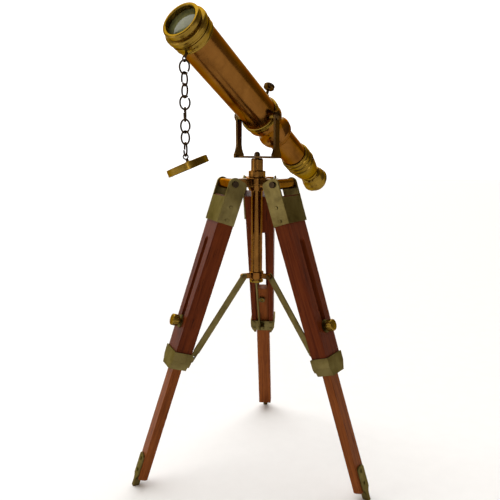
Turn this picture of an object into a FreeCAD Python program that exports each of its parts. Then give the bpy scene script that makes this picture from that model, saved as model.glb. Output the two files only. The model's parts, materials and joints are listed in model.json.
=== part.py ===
import FreeCAD, Part
import math
import os
import Sketcher

# Telescope on a folding wooden tripod.  Millimetres, +Z up, the origin on the
# tripod's axis at floor level, the back leg along +Y.

os.makedirs("parts", exist_ok=True)

doc = FreeCAD.newDocument("TelescopeOnTripod")
sheet = doc.addObject("Spreadsheet::Sheet", "Dims")

DIMENSIONS = (
    # pose of the telescope and the folding frame
    ("pan_angle", 27.73, "yoke heading, degrees clockwise from -Y"),
    ("rise_angle", 30.06, "telescope elevation, degrees"),
    ("tilt_height", 358.5, "height of the tilt pivot"),
    ("tilt_offset", 4.0, "optical axis above the tilt pivot"),
    ("tilt_station", 147.0, "tilt pivot from the eye end"),
    ("leg_lean", 18.86, "leg lean from upright, degrees"),
    ("leg_hinge_r", 30.3, "leg hinge from the tripod axis"),
    ("leg_hinge_z", 293.1, "leg hinge height"),
    ("fit_gap", 0.06, "radial running clearance"),
    ("seat_gap", 0.02, "clearance of seated pieces"),
    # column and hub
    ("column_r", 5.7, "column tube"),
    ("column_bore_r", 4.3, "column tube bore"),
    ("column_foot_z", 194.0, "column lower end"),
    ("shoulder_low", 298.5, "ring step, lower face"),
    ("shoulder_high", 305.2, "ring step, upper face"),
    ("shoulder_r", 8.5, "ring step"),
    ("stub_r", 6.0, "stub under the yoke"),
    ("stub_top", 317.4, "stub upper face"),
    ("stud_r", 2.0, "yoke stud"),
    ("stud_top", 322.4, "yoke stud end"),
    ("nut_washer_r", 3.3, "washer under the yoke nut"),
    ("hub_r", 10.2, "hub ring"),
    ("hub_low", 285.6, "hub ring, lower face"),
    ("hub_arm_width", 11.0, "hub arm, across"),
    ("hub_arm_low", 289.2, "hub arm, lower face"),
    ("hub_arm_high", 297.6, "hub arm, upper face"),
    ("knuckle_width", 29.0, "hub knuckle between the leg cheeks"),
    ("knuckle_depth", 9.6, "hub knuckle, radial"),
    ("knuckle_height", 9.8, "hub knuckle, upright"),
    ("knuckle_round", 3.4, "hub knuckle edge radius"),
    ("bolt_r", 1.6, "leg hinge bolt"),
    ("bolt_head_r", 3.1, "leg hinge bolt head"),
    ("bolt_head", 1.3, "leg hinge bolt head thickness"),
    ("foot_ring_r", 6.9, "stop ring under the spreader"),
    ("foot_ring_height", 1.8, "stop ring height"),
    # upper leg
    ("leg_shift", 3.5, "leg centre inside the hinge axis"),
    ("leg_depth", 16.6, "upper leg, radial"),
    ("leg_top_half", 15.45, "upper leg half width at its top"),
    ("leg_low_half", 12.1, "upper leg half width at its foot"),
    ("leg_top", 12.5, "upper leg top below the hinge"),
    ("leg_low", 186.0, "upper leg foot below the hinge"),
    ("leg_bevel", 8.5, "length of the bevelled foot corners"),
    ("leg_bevel_half", 8.6, "half width of the bevelled foot"),
    ("groove_half", 7.65, "half width of the groove for the lower leg"),
    ("groove_top", 55.0, "groove end below the hinge"),
    ("slot_half", 4.0, "half width of the clamp slot"),
    ("slot_low", 147.5, "clamp slot end below the hinge"),
    # lower leg
    ("shank_half", 7.35, "lower leg half width"),
    ("shank_depth", 9.0, "lower leg, radial"),
    ("shank_shift", 0.7, "lower leg centre inside the leg centre"),
    ("shank_top", 128.0, "lower leg top below the hinge"),
    ("shank_low", 302.0, "lower leg foot below the hinge"),
    ("shank_bevel", 3.0, "bevel at the lower leg's foot"),
    ("clamp_station", 142.0, "clamp screw below the hinge"),
    ("clamp_r", 1.6, "clamp screw"),
    ("knob_r", 5.6, "clamp knob"),
    ("knob_length", 6.8, "clamp knob, along its axis"),
    ("knob_neck_r", 2.7, "clamp knob neck"),
    ("knob_neck", 1.9, "clamp knob neck length"),
    ("washer_r", 6.3, "clamp washer"),
    ("washer", 1.0, "clamp washer thickness"),
    ("nut_r", 3.4, "clamp nut"),
    ("nut", 2.2, "clamp nut thickness"),
    # brass fittings of a leg
    ("sheet_metal", 1.4, "ferrule plate thickness"),
    ("cheek_low", 39.0, "head ferrule foot below the hinge"),
    ("front_plate_top", 13.8, "head ferrule front plate below the hinge"),
    ("ear_r", 6.4, "ear round the hinge"),
    ("ferrule_top", 169.5, "lower ferrule top below the hinge"),
    ("ferrule_low", 187.0, "lower ferrule foot below the hinge"),
    ("strap_top", 170.0, "lower ferrule inner strap, top"),
    ("strap_low", 183.0, "lower ferrule inner strap, foot"),
    ("lug_station", 176.0, "brace lug below the hinge"),
    ("lug_reach", 17.2, "brace lug inside the hinge axis"),
    ("lug_r", 2.6, "brace eye"),
    ("lug_half", 1.5, "brace lug half thickness"),
    ("pin_r", 1.0, "brace pin"),
    ("rivet_r", 0.9, "rivet and screw shank"),
    ("rivet_head_r", 1.7, "rivet and screw head"),
    ("rivet_head", 0.8, "rivet and screw head height"),
    ("rivet_depth", 3.2, "rivet and screw depth in the wood"),
    # foot
    ("foot_half", 5.4, "foot plate half width"),
    ("foot_top", 277.5, "foot plate top below the hinge"),
    ("foot_shoulder", 299.0, "foot plate shoulder below the hinge"),
    ("foot_neck", 304.0, "foot point starts below the hinge"),
    ("foot_point_half", 2.3, "foot point half width"),
    ("foot_plate", 1.7, "foot plate thickness"),
    ("foot_spur", 4.2, "foot point, from the plate inwards"),
    # spreader
    ("spreader_r", 7.1, "spreader collar"),
    ("spreader_low", 195.9, "spreader collar lower face"),
    ("spreader_high", 203.2, "spreader collar upper face"),
    ("spreader_reach", 15.0, "brace pin from the tripod axis"),
    ("spreader_pin_z", 199.2, "brace pin height"),
    ("brace_half", 3.3, "brace half width"),
    ("brace_foot", 2.7, "brace half width at its foot"),
    ("brace_sheet", 1.5, "brace thickness"),
    ("brace_gap", 0.25, "space between a lug and the brace beside it"),
    ("brace_foot_run", 9.0, "length of the narrower brace foot"),
    ("brace_slot", 1.6, "half travel of the pin in the brace foot slot"),
    ("brace_play", 0.6, "play of the pin across the brace foot slot"),
    # yoke
    ("arm_inner", 21.0, "yoke arm inner face from the middle"),
    ("arm_sheet", 2.4, "yoke arm thickness"),
    ("yoke_low", 317.6, "yoke strap lower face"),
    ("yoke_strap", 2.0, "yoke strap thickness"),
    ("strap_half", 4.6, "yoke strap half width"),
    ("arm_foot_half", 7.6, "yoke arm half width at its foot"),
    ("arm_waist_half", 3.7, "yoke arm half width at its waist"),
    ("arm_tip_r", 4.7, "yoke arm tip radius"),
    ("trunnion_r", 2.0, "tilt screw"),
    ("trunnion_head_r", 4.7, "tilt screw head"),
    ("trunnion_head", 2.2, "tilt screw head height"),
    # barrel
    ("barrel_r", 17.8, "main barrel"),
    ("barrel_bore_r", 16.5, "main barrel bore"),
    ("barrel_front", 263.0, "main barrel front end"),
    ("barrel_rear", 145.0, "main barrel rear end"),
    ("lip_r", 17.5, "objective lip"),
    ("front", 280.2, "front face"),
    ("mouth_r", 14.2, "objective mouth"),
    ("bead_r", 19.8, "objective bead"),
    ("bead_front", 274.6, "objective bead, front"),
    ("bead_rear", 268.6, "objective bead, rear"),
    ("cell_r", 15.9, "lens cell bore"),
    ("cell_rear", 263.2, "lens cell rear end"),
    ("collar_r", 19.2, "objective collar"),
    ("collar_front", 266.8, "objective collar front"),
    ("collar_rear", 259.4, "objective collar rear"),
    ("lens_r", 15.8, "objective lens"),
    ("lens_front", 274.2, "objective lens edge, front"),
    ("lens_rear", 271.4, "objective lens edge, rear"),
    ("lens_swell", 1.6, "rise of each lens face"),
    ("ring_r", 19.7, "trunnion ring"),
    ("ring_front", 146.4, "trunnion ring front"),
    ("ring_rear", 140.6, "trunnion ring rear"),
    ("boss_r", 4.3, "trunnion boss"),
    ("lock_station", 143.5, "lock screw from the eye end"),
    ("lock_boss_r", 2.9, "lock screw boss"),
    ("lock_boss_top", 22.6, "lock screw boss height"),
    ("lock_r", 1.5, "lock screw shank"),
    ("lock_head_r", 5.5, "lock screw head"),
    ("lock_head_low", 30.2, "lock screw head, lower face"),
    ("lock_head", 4.2, "lock screw head thickness"),
    ("cup_r", 18.8, "rear cup rim"),
    ("cup_rim", 136.0, "rear cup rim station"),
    ("waist_r", 15.3, "waist behind the cup"),
    ("waist_station", 126.5, "waist station"),
    ("bell_r", 17.5, "bell rim"),
    ("bell_rim", 112.4, "bell rim station"),
    ("bell_rear_r", 14.7, "bell rear edge"),
    ("bell_rear", 103.6, "bell rear face"),
    # draw tube and eyepiece
    ("tube_r", 13.7, "draw tube"),
    ("tube_bore_r", 12.7, "draw tube bore"),
    ("tube_front", 167.0, "draw tube front end"),
    ("tube_stop", 3.5, "draw tube stop flange length"),
    ("tube_rear", 50.5, "draw tube rear end"),
    ("eye_collar_r", 15.1, "eyepiece collar"),
    ("eye_ring_r", 16.0, "raised rings of the eyepiece collar"),
    ("eye_ring_half", 1.2, "half length of a raised ring"),
    ("eye_collar_front", 65.5, "eyepiece collar front"),
    ("eye_collar_rear", 43.5, "eyepiece collar rear"),
    ("taper_r", 15.0, "eyepiece taper, front"),
    ("taper_mid_r", 13.5, "eyepiece taper, middle"),
    ("taper_mid", 34.0, "eyepiece taper middle station"),
    ("neck_r", 10.3, "eyepiece neck"),
    ("neck_front", 26.0, "eyepiece neck front"),
    ("neck_rear", 21.6, "eyepiece neck rear"),
    ("eyecup_r", 14.8, "eyecup"),
    ("eyecup_widest", 5.4, "eyecup widest station"),
    ("eye_hole_r", 6.2, "eye hole"),
    ("eye_lens_r", 8.0, "eye lens"),
    ("eye_lens_low", 14.6, "eye lens edge, rear"),
    ("eye_lens_high", 16.4, "eye lens edge, front"),
    # chain and cap
    ("eyelet_r", 2.0, "eyelet centre line"),
    ("eyelet_wire", 0.6, "eyelet wire"),
    ("link_wire", 0.5, "chain wire"),
    ("link_bow", 4.3, "chain link bow centre line"),
    ("link_pitch", 9.5, "chain pitch"),
    ("link_gap", 0.12, "play between chain links"),
    ("staple_station", 261.0, "chain staple from the eye end"),
    ("staple_drop", 4.5, "staple eyelet below the objective collar"),
    ("staple_stem_r", 1.2, "staple stem"),
    ("cap_r", 18.2, "lens cap"),
    ("cap_bore_r", 17.6, "lens cap bore"),
    ("cap_height", 5.9, "lens cap height"),
    ("cap_top", 0.9, "lens cap disc"),
    ("cap_lean", 23.0, "lean of the hanging cap, degrees"),
    ("cap_stem_r", 1.3, "cap eyelet stem"),
    ("cap_stem_shift", 1.5, "cap eyelet from the cap's middle"),
    ("cap_stem", 2.8, "cap eyelet stem length"),
)


class Cell:
    """A number together with the spreadsheet expression that gives it."""

    def __init__(self, value, text):
        self.value = value
        self.text = text

    def _join(self, other, sign, result):
        return Cell(result, "(%s %s %s)" % (self.text, sign, other.text))

    def __add__(self, other):
        other = cell(other)
        return self._join(other, "+", self.value + other.value)

    def __sub__(self, other):
        other = cell(other)
        return self._join(other, "-", self.value - other.value)

    def __mul__(self, other):
        other = cell(other)
        return self._join(other, "*", self.value * other.value)

    def __radd__(self, other):
        return cell(other) + self

    def __rsub__(self, other):
        return cell(other) - self

    def __rmul__(self, other):
        return cell(other) * self

    def __neg__(self):
        return cell(0.0) - self


def cell(value):
    if isinstance(value, Cell):
        return value
    return Cell(float(value), "%.6f" % float(value))


class Sheet:
    pass


d = Sheet()
for row, (alias, number, meaning) in enumerate(DIMENSIONS, start=1):
    sheet.set("A%d" % row, meaning)
    sheet.set("B%d" % row, str(number))
    sheet.setAlias("B%d" % row, alias)
    setattr(d, alias, Cell(number, "Dims." + alias))
doc.recompute()

NODES = []


def bind(obj, prop, value):
    value = cell(value)
    if "Dims." in value.text:
        obj.setExpression(prop, value.text)
    else:
        setattr_path(obj, prop, value.value)


def setattr_path(obj, prop, number):
    if prop.startswith("Placement.Base."):
        place = obj.Placement
        setattr(place.Base, prop[-1], number)
        obj.Placement = place
    else:
        setattr(obj, prop, number)


TURNS = {
    "Z": FreeCAD.Rotation(),
    "X": FreeCAD.Rotation(FreeCAD.Vector(0, 1, 0), 90),
    "Y": FreeCAD.Rotation(FreeCAD.Vector(1, 0, 0), -90),
}


def put(obj, at, turn=None):
    if turn is not None:
        obj.Placement = FreeCAD.Placement(FreeCAD.Vector(), turn)
    for letter, value in zip("xyz", at):
        bind(obj, "Placement.Base." + letter, value)


def cyl(radius, length, at=(0, 0, 0), axis="Z"):
    obj = doc.addObject("Part::Cylinder", "Cylinder")
    bind(obj, "Radius", radius)
    bind(obj, "Height", length)
    put(obj, at, TURNS[axis])
    return obj


def block(x0, x1, y0, y1, z0, z1):
    obj = doc.addObject("Part::Box", "Box")
    bind(obj, "Length", cell(x1) - x0)
    bind(obj, "Width", cell(y1) - y0)
    bind(obj, "Height", cell(z1) - z0)
    put(obj, (x0, y0, z0))
    return obj


def torus(ring, wire, at=(0, 0, 0), turn=None, sweep=360):
    obj = doc.addObject("Part::Torus", "Torus")
    bind(obj, "Radius1", ring)
    bind(obj, "Radius2", wire)
    obj.Angle3 = sweep
    put(obj, at, turn)
    return obj


def fuse(*pieces):
    if len(pieces) == 1:
        return pieces[0]
    obj = doc.addObject("Part::MultiFuse", "Fusion")
    obj.Shapes = list(pieces)
    obj.Refine = True
    return obj


def cut(base, *tools):
    obj = doc.addObject("Part::Cut", "Cut")
    obj.Base = base
    obj.Tool = fuse(*tools)
    obj.Refine = True
    return obj


def common(first, second):
    obj = doc.addObject("Part::MultiCommon", "Common")
    obj.Shapes = [first, second]
    return obj


def group(*pieces):
    """Separate solids kept side by side in one sub-part."""
    obj = doc.addObject("Part::Compound", "Group")
    obj.Links = list(pieces)
    return obj


def plane_of(body, role):
    for feature in body.Origin.OriginFeatures:
        if feature.Role == role:
            return feature
    raise ValueError(role)


def outline(sketch, points):
    """Close a profile through points (a, b) or (a, b, bulge); the bulge bends
    the edge that arrives at its point into an arc, to the left when positive."""
    ends = []
    count = len(points)
    flat = [FreeCAD.Vector(cell(p[0]).value, cell(p[1]).value, 0) for p in points]
    for i in range(count):
        start = flat[i]
        goal = flat[(i + 1) % count]
        target = points[(i + 1) % count]
        bulge = cell(target[2]).value if len(target) > 2 else 0.0
        if bulge:
            along = goal - start
            left = FreeCAD.Vector(-along.y, along.x, 0)
            left.normalize()
            middle = (start + goal) * 0.5 + left * bulge
            if bulge > 0:
                arc = Part.Arc(goal, middle, start)
                ends.append((sketch.addGeometry(arc, False), 2, 1))
            else:
                arc = Part.Arc(start, middle, goal)
                ends.append((sketch.addGeometry(arc, False), 1, 2))
        else:
            index = sketch.addGeometry(Part.LineSegment(start, goal), False)
            ends.append((index, 1, 2))
    for i in range(count):
        here = ends[i]
        before = ends[i - 1]
        sketch.addConstraint(
            Sketcher.Constraint("Coincident", before[0], before[2], here[0], here[1])
        )
    for i in range(count):
        index, start_end, _ = ends[i]
        for kind, value, axis in (
            ("DistanceX", points[i][0], -2),
            ("DistanceY", points[i][1], -1),
        ):
            value = cell(value)
            if abs(value.value) < 1e-9:
                sketch.addConstraint(
                    Sketcher.Constraint("PointOnObject", index, start_end, axis)
                )
                continue
            number = sketch.addConstraint(
                Sketcher.Constraint(kind, index, start_end, value.value)
            )
            if "Dims." in value.text:
                sketch.setExpression("Constraints[%d]" % number, value.text)


def dome(base, height):
    """Bulge of the arc from a cap's rim to its pole when the cap is a piece of
    a sphere."""
    base = cell(base).value
    chord = math.hypot(base, height)
    ball = 0.5 * chord * chord / height
    return ball - math.sqrt(ball * ball - 0.25 * chord * chord)


def new_body(role, points):
    body = doc.addObject("PartDesign::Body", "Body")
    sketch = body.newObject("Sketcher::SketchObject", "Profile")
    sketch.AttachmentSupport = (plane_of(body, role), [""])
    sketch.MapMode = "FlatFace"
    doc.recompute()
    outline(sketch, points)
    return body, sketch


def turned(points):
    """Revolve a half profile of (radius, station) points about +Z."""
    body, sketch = new_body("XZ_Plane", points)
    turn = body.newObject("PartDesign::Revolution", "Revolution")
    turn.Profile = sketch
    turn.ReferenceAxis = (sketch, ["V_Axis"])
    turn.Angle = 360
    doc.recompute()
    return body


def padded(role, points, depth):
    """Pad an outline symmetrically about its plane by the whole depth."""
    body, sketch = new_body(role, points)
    pad = body.newObject("PartDesign::Pad", "Pad")
    pad.Profile = sketch
    pad.Midplane = True
    bind(pad, "Length", depth)
    doc.recompute()
    return body


def node(label, obj, frame=None):
    if frame is not None:
        obj.Placement = frame.multiply(obj.Placement)
    obj.Label = label
    NODES.append(obj)
    return obj


def moved(obj, at, turn=None):
    put(obj, at, turn)
    return obj


def frame_of(origin, x_axis, y_axis, z_axis):
    return FreeCAD.Placement(origin, FreeCAD.Rotation(x_axis, y_axis, z_axis, "ZXY"))


# ---------------------------------------------------------------- frames

pan = math.radians(d.pan_angle.value)
rise = math.radians(d.rise_angle.value)
UP = FreeCAD.Vector(0, 0, 1)
RIGHT = FreeCAD.Vector(math.cos(pan), -math.sin(pan), 0)
BACK = FreeCAD.Vector(math.sin(pan), math.cos(pan), 0)
AIM = BACK * -math.cos(rise) + UP * math.sin(rise)
CROWN = BACK * math.sin(rise) + UP * math.cos(rise)
YOKE = frame_of(FreeCAD.Vector(), RIGHT, BACK, UP)
TILT = FreeCAD.Vector(0, 0, d.tilt_height.value)
EYE_END = TILT + CROWN * d.tilt_offset.value - AIM * d.tilt_station.value
SCOPE = frame_of(EYE_END, RIGHT, CROWN, AIM)

LEGS = (("left", -150.0), ("right", -30.0), ("back", 90.0))


def leg_frame(azimuth):
    turn = FreeCAD.Rotation(UP, azimuth)
    lean = FreeCAD.Rotation(FreeCAD.Vector(0, 1, 0), -d.leg_lean.value)
    hinge = turn.multVec(FreeCAD.Vector(d.leg_hinge_r.value, 0, d.leg_hinge_z.value))
    return FreeCAD.Placement(hinge, turn.multiply(lean))


def spoke_frame(azimuth):
    return FreeCAD.Placement(FreeCAD.Vector(), FreeCAD.Rotation(UP, azimuth))


# ---------------------------------------------------------------- column and hub

node("column_post", turned((
    (d.column_bore_r, d.column_foot_z),
    (d.column_r, d.column_foot_z),
    (d.column_r, d.shoulder_low),
    (d.shoulder_r - 0.5, d.shoulder_low),
    (d.shoulder_r, d.shoulder_low + 0.5),
    (d.shoulder_r, d.shoulder_high - 1.0),
    (d.shoulder_r - 1.0, d.shoulder_high, -0.35),
    (d.stub_r + 0.8, d.shoulder_high),
    (d.stub_r, d.shoulder_high + 0.8, 0.25),
    (d.stub_r, d.stub_top - 2.2),
    (d.stub_r - 1.4, d.stub_top, -0.5),
    (d.stud_r, d.stub_top),
    (d.stud_r, d.stud_top),
    (0, d.stud_top),
    (0, d.shoulder_low),
    (d.column_bore_r, d.shoulder_low - 4.0),
)))

node("column_stop_ring", turned((
    (0, d.column_foot_z - d.foot_ring_height + 1.9),
    (0, d.column_foot_z - d.foot_ring_height),
    (d.foot_ring_r - 0.6, d.column_foot_z - d.foot_ring_height),
    (d.foot_ring_r, d.column_foot_z - d.foot_ring_height + 0.6),
    (d.foot_ring_r, d.column_foot_z + 0.4),
    (d.column_r + d.seat_gap, d.column_foot_z + 0.4),
    (d.column_r + d.seat_gap, d.column_foot_z - d.seat_gap),
    (d.column_bore_r - d.seat_gap, d.column_foot_z - d.seat_gap),
    (d.column_bore_r - d.seat_gap, d.column_foot_z + 4.0),
    (d.column_bore_r - 1.4, d.column_foot_z + 4.0),
    (d.column_bore_r - 1.4, d.column_foot_z - d.foot_ring_height + 1.9),
)))

hub_parts = [turned((
    (d.column_r + d.seat_gap, d.hub_low),
    (d.hub_r - 2.4, d.hub_low),
    (d.hub_r - 1.0, d.hub_low + 3.4),
    (d.hub_r - 1.0, d.shoulder_low - 7.2),
    (d.hub_r, d.shoulder_low - 6.2, -0.2),
    (d.hub_r, d.shoulder_low - 1.0),
    (d.hub_r - 0.8, d.shoulder_low - d.seat_gap, -0.2),
    (d.column_r + d.seat_gap, d.shoulder_low - d.seat_gap),
))]


def hub_arm():
    spoke = block(d.hub_r - 3.0, d.leg_hinge_r, -0.5 * d.hub_arm_width, 0.5 * d.hub_arm_width,
                  d.hub_arm_low, d.hub_arm_high)
    half_depth = 0.5 * d.knuckle_depth
    half_height = 0.5 * d.knuckle_height
    bend = d.knuckle_round
    sag = -0.293 * bend
    left = d.leg_hinge_r - half_depth
    right = d.leg_hinge_r + half_depth
    low = d.leg_hinge_z - half_height
    high = d.leg_hinge_z + half_height
    knuckle = padded("XZ_Plane", (
        (left + bend, low, sag),
        (right - bend, low),
        (right, low + bend, sag),
        (right, high - bend),
        (right - bend, high, sag),
        (left + bend, high),
        (left, high - bend, sag),
        (left, low + bend),
    ), d.knuckle_width)
    bore = cyl(d.bolt_r + d.seat_gap, d.knuckle_width + 2.0,
               (d.leg_hinge_r, -0.5 * d.knuckle_width - 1.0, d.leg_hinge_z), "Y")
    return cut(fuse(spoke, knuckle), bore)


for _, azimuth in LEGS:
    arm = hub_arm()
    arm.Placement = spoke_frame(azimuth)
    hub_parts.append(arm)
# the arms stop at the ring's bore
hub_core = cyl(d.column_r + d.seat_gap, 40.0, (0, 0, d.hub_low - 10.0))
node("tripod_hub", cut(fuse(*hub_parts), hub_core))


def hinge_bolt():
    half = d.leg_top_half + d.sheet_metal + 0.75
    rod = cyl(d.bolt_r, 2.0 * half, (d.leg_hinge_r, -half, d.leg_hinge_z), "Y")
    near = cyl(d.bolt_head_r, d.bolt_head, (d.leg_hinge_r, half, d.leg_hinge_z), "Y")
    far = cyl(d.bolt_head_r, d.bolt_head, (d.leg_hinge_r, -half - d.bolt_head, d.leg_hinge_z), "Y")
    return fuse(rod, near, far)


bolts = []
for _, azimuth in LEGS:
    bolt = hinge_bolt()
    bolt.Placement = spoke_frame(azimuth)
    bolts.append(bolt)
node("hinge_bolts", group(*bolts))

nut_seat = d.yoke_low + d.yoke_strap + 0.2
node("yoke_nut", turned((
    (d.stud_r + d.seat_gap, nut_seat),
    (d.nut_washer_r, nut_seat),
    (d.nut_washer_r, nut_seat + 0.7),
    (d.nut_washer_r - 0.4, nut_seat + 0.8),
    (d.nut_washer_r - 0.4, d.stud_top - 0.6),
    (0, d.stud_top + 1.6, -dome(d.nut_washer_r - 0.4, 2.2)),
    (0, d.stud_top + 0.1),
    (d.stud_r + d.seat_gap, d.stud_top + 0.1),
)))

# ---------------------------------------------------------------- legs


TAPER = (d.leg_top_half.value - d.leg_low_half.value) / (d.leg_low.value - d.leg_top.value)


def rail_half(station):
    """Half width of the tapered leg at a distance below the hinge."""
    return d.leg_top_half - (cell(station) - d.leg_top) * TAPER


def leg_blank(grow, top, low, x0, x1):
    """The tapered leg outline, grown sideways, between two depths."""
    top_half = rail_half(top) + grow
    bevel_at = low - d.leg_bevel
    side = rail_half(bevel_at) + grow
    foot = d.leg_bevel_half + grow
    body = padded("YZ_Plane", (
        (-foot, -low),
        (foot, -low),
        (side, -bevel_at),
        (top_half, -top),
        (-top_half, -top),
        (-side, -bevel_at),
    ), x1 - x0)
    return moved(body, (0.5 * (x0 + x1), 0, 0))


def straight_blank(grow, top, low, x0, x1):
    """The same outline without the bevelled foot."""
    top_half = rail_half(top) + grow
    low_half = rail_half(low) + grow
    body = padded("YZ_Plane", (
        (-low_half, -low),
        (low_half, -low),
        (top_half, -top),
        (-top_half, -top),
    ), x1 - x0)
    return moved(body, (0.5 * (x0 + x1), 0, 0))


OUTER = 0.5 * d.leg_depth - d.leg_shift
INNER = -0.5 * d.leg_depth - d.leg_shift
SHANK_MID = -d.leg_shift - d.shank_shift
SHANK_OUT = SHANK_MID + 0.5 * d.shank_depth
SHANK_IN = SHANK_MID - 0.5 * d.shank_depth
CHEEK_RIVETS = ((-3.0, 22.0), (-3.0, 35.0))
STRAP_SCREWS = (172.8, 180.4)
STRAP_SCREW_Y = 9.6
PIN_HEAD = 0.8
PIN_PROUD = 0.3


def leg_holes():
    """Drillings for the rivets and screws of one leg."""
    holes = []
    drill = d.rivet_r + d.seat_gap
    depth = d.rivet_depth + d.sheet_metal + 1.0
    for x, station in CHEEK_RIVETS:
        half = rail_half(station) + d.sheet_metal + 1.0
        for side in (half - depth, -half):
            holes.append(cyl(drill, depth, (x, side, -station), "Y"))
    for station in STRAP_SCREWS:
        for y in (-STRAP_SCREW_Y, STRAP_SCREW_Y):
            holes.append(cyl(drill, depth, (INNER - d.sheet_metal - 1.0, y, -station), "X"))
    return holes


def upper_leg():
    wood = leg_blank(0.0, d.leg_top, d.leg_low, INNER, OUTER)
    groove = block(INNER - 1.0, SHANK_OUT + 0.3, -d.groove_half, d.groove_half,
                   -d.leg_low - 1.0, -d.groove_top)
    slot = block(SHANK_OUT - 1.0, OUTER + 1.0, -d.slot_half, d.slot_half,
                 d.slot_half - d.slot_low, -d.groove_top - d.slot_half)
    slot_top = cyl(d.slot_half, 20.0, (SHANK_OUT - 1.0, 0, -d.groove_top - d.slot_half), "X")
    slot_low = cyl(d.slot_half, 20.0, (SHANK_OUT - 1.0, 0, d.slot_half - d.slot_low), "X")
    return cut(wood, groove, slot, slot_top, slot_low, *leg_holes())


def head_ferrule():
    left = INNER
    right = OUTER + d.sheet_metal
    shell = padded("XZ_Plane", (
        (left, -d.cheek_low),
        (right, -d.cheek_low),
        (right, 0),
        (0, right, -0.293 * right.value),
        (left + 4.0, right - 1.6),
        (left, right - 5.6, -0.293 * 4.0),
    ), 60.0)
    skin = straight_blank(d.sheet_metal, -9.0, d.cheek_low + 1.0, INNER - 1.0, right + 1.0)
    core = straight_blank(d.seat_gap, -10.0, d.cheek_low + 2.0, INNER - 2.0, OUTER + d.seat_gap)
    window = block(INNER - 2.0, right + 2.0, -14.9, 14.9, -d.front_plate_top, 20.0)
    bore = cyl(d.bolt_r + d.fit_gap, 60.0, (0, -30.0, 0), "Y")
    return cut(common(shell, skin), core, window, bore, *leg_holes())


def lower_ferrule():
    back = INNER - d.sheet_metal
    front = OUTER + d.sheet_metal
    grow = d.sheet_metal
    skin = leg_blank(grow, d.ferrule_top, d.ferrule_low, back, front)
    core = leg_blank(d.seat_gap, d.ferrule_top - 2.0, d.ferrule_low - 1.0,
                     INNER - d.seat_gap, OUTER + d.seat_gap)
    passage = block(INNER - d.seat_gap, SHANK_OUT + 0.3, -d.groove_half, d.groove_half,
                    -d.ferrule_low - 2.0, -d.ferrule_low + 6.0)
    above = block(back - 1.0, INNER, -20.0, 20.0, -d.strap_top, -d.ferrule_top + 3.0)
    below = block(back - 1.0, INNER, -20.0, 20.0, -d.ferrule_low - 3.0, -d.strap_low)
    ear = block(-d.lug_reach, back + 0.4, -d.lug_half, d.lug_half,
                -d.lug_station - d.lug_r, -d.lug_station + d.lug_r)
    eye = cyl(d.lug_r, 2.0 * d.lug_half, (-d.lug_reach, -d.lug_half, -d.lug_station), "Y")
    pin_hole = cyl(d.pin_r + d.seat_gap, 10.0, (-d.lug_reach, -5.0, -d.lug_station), "Y")
    shell = cut(skin, core, passage, above, below)
    return cut(fuse(shell, ear, eye), pin_hole, *leg_holes())


def brace_pin(x, z):
    """A pin through a lug and the brace beside it, with a riveted head at each end."""
    near_end = d.lug_half + d.brace_gap + d.brace_sheet + PIN_PROUD
    far_end = -d.lug_half - PIN_PROUD
    rod = cyl(d.pin_r, near_end - far_end, (x, far_end, z), "Y")
    near = cyl(d.pin_r + 0.9, PIN_HEAD, (x, near_end - 0.1, z), "Y")
    far = cyl(d.pin_r + 0.9, PIN_HEAD, (x, far_end + 0.1 - PIN_HEAD, z), "Y")
    return fuse(rod, near, far)


def leg_fasteners():
    pieces = []
    for x, station in CHEEK_RIVETS:
        face = rail_half(station) + d.sheet_metal + 0.04
        deep = d.sheet_metal + d.rivet_depth - 0.4
        for sign in (1, -1):
            if sign > 0:
                head = cyl(d.rivet_head_r, d.rivet_head, (x, face, -station), "Y")
                stem = cyl(d.rivet_r, deep, (x, face - deep, -station), "Y")
            else:
                head = cyl(d.rivet_head_r, d.rivet_head, (x, -face - d.rivet_head, -station), "Y")
                stem = cyl(d.rivet_r, deep, (x, -face, -station), "Y")
            pieces.append(fuse(head, stem))
    for station in STRAP_SCREWS:
        for y in (-STRAP_SCREW_Y, STRAP_SCREW_Y):
            face = INNER - d.sheet_metal
            deep = d.sheet_metal + d.rivet_depth - 0.4
            head = cyl(d.rivet_head_r, d.rivet_head, (face - d.rivet_head, y, -station), "X")
            stem = cyl(d.rivet_r, deep, (face, y, -station), "X")
            pieces.append(fuse(head, stem))
    pieces.append(brace_pin(-d.lug_reach, -d.lug_station))
    return group(*pieces)


FOOT_SCREWS = (282.5, 294.0)
KNOB_PLAY = 0.15


def foot_drillings():
    return [cyl(d.rivet_r + d.seat_gap, 12.0, (SHANK_OUT - 4.5, 0, -station), "X")
            for station in FOOT_SCREWS]


def lower_leg():
    wood = block(SHANK_IN, SHANK_OUT, -d.shank_half, d.shank_half, -d.shank_low, -d.shank_top)
    soft = doc.addObject("Part::Chamfer", "Chamfer")
    soft.Base = wood
    doc.recompute()
    edges = []
    for number, edge in enumerate(wood.Shape.Edges, start=1):
        middle = edge.CenterOfMass
        flat = abs(edge.tangentAt(edge.FirstParameter).z) < 0.5
        low = abs(middle.z + d.shank_low.value) < 0.01
        if flat and low:
            edges.append((number, d.shank_bevel.value * 0.5, d.shank_bevel.value * 0.5))
        elif not flat:
            edges.append((number, 0.5, 0.5))
    soft.Edges = edges
    clamp = cyl(d.clamp_r + d.fit_gap, 40.0, (SHANK_IN - 10.0, 0, -d.clamp_station), "X")
    return cut(soft, clamp, *foot_drillings())


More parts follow.
